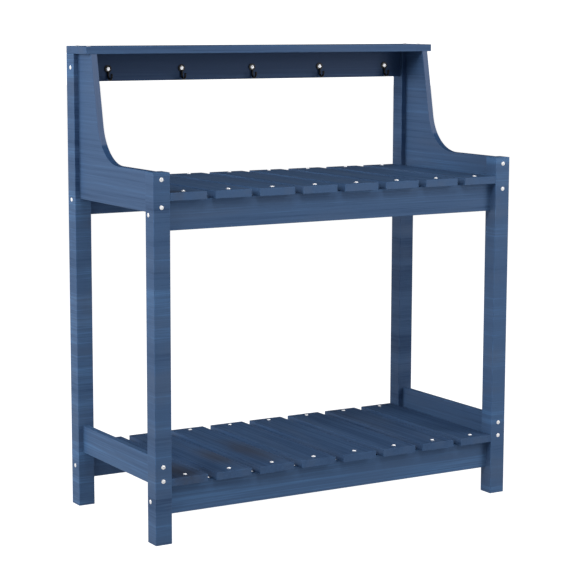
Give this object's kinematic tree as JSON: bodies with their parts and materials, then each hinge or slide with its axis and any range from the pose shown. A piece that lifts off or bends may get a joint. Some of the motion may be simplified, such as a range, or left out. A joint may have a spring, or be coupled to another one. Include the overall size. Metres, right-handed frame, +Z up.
{
  "type": "potting bench",
  "caption": "Blue-stained wooden potting bench: slatted work surface and lower shelf on square posts, swooped side boards, narrow top shelf and a hook rail.",
  "frame": {"origin": "on the floor, under the middle of the bench's bounding box", "axes": "+Z up, +X to the right seen from the front, +Y towards the back; the open working side faces -Y"},
  "size_m": [1.0044, 0.4644, 1.1387],
  "materials": {
    "post_wood": "blue-grey translucent stain, satin, sawn grain showing through",
    "board_wood": "blue-grey translucent stain, satin, grain along the board",
    "slat_wood": "blue-grey translucent stain, satin, with a few brownish patches where the wood shows",
    "screw_zinc": "bright zinc plate",
    "hook_black": "satin black enamel"
  },
  "bodies": {
    "root": {"front_post_left": "post_wood", "rear_post_left": "post_wood", "front_post_right": "post_wood", "rear_post_right": "post_wood", "side_board_left": "board_wood", "side_rail_left": "board_wood", "side_board_right": "board_wood", "side_rail_right": "board_wood", "upper_front_apron": "board_wood", "upper_rear_apron": "board_wood", "lower_front_apron": "board_wood", "lower_rear_apron": "board_wood", "top_shelf": "board_wood", "hook_rail": "board_wood", "work_slat_1": "slat_wood", "work_slat_2": "slat_wood", "work_slat_3": "slat_wood", "work_slat_4": "slat_wood", "work_slat_5": "slat_wood", "work_slat_6": "slat_wood", "work_slat_7": "slat_wood", "work_slat_8": "slat_wood", "lower_slat_1": "slat_wood", "lower_slat_2": "slat_wood", "lower_slat_3": "slat_wood", "lower_slat_4": "slat_wood", "lower_slat_5": "slat_wood", "lower_slat_6": "slat_wood", "lower_slat_7": "slat_wood", "lower_slat_8": "slat_wood", "hook_1": "hook_black", "hook_2": "hook_black", "hook_3": "hook_black", "hook_4": "hook_black", "hook_5": "hook_black", "work_slat_screws": "screw_zinc", "lower_slat_screws": "screw_zinc", "shelf_screws": "screw_zinc", "side_board_screws": "screw_zinc", "side_rail_screws": "screw_zinc", "apron_screws": "screw_zinc", "hook_rail_screws": "screw_zinc", "hook_screws": "screw_zinc"}
  },
  "joints": []
}
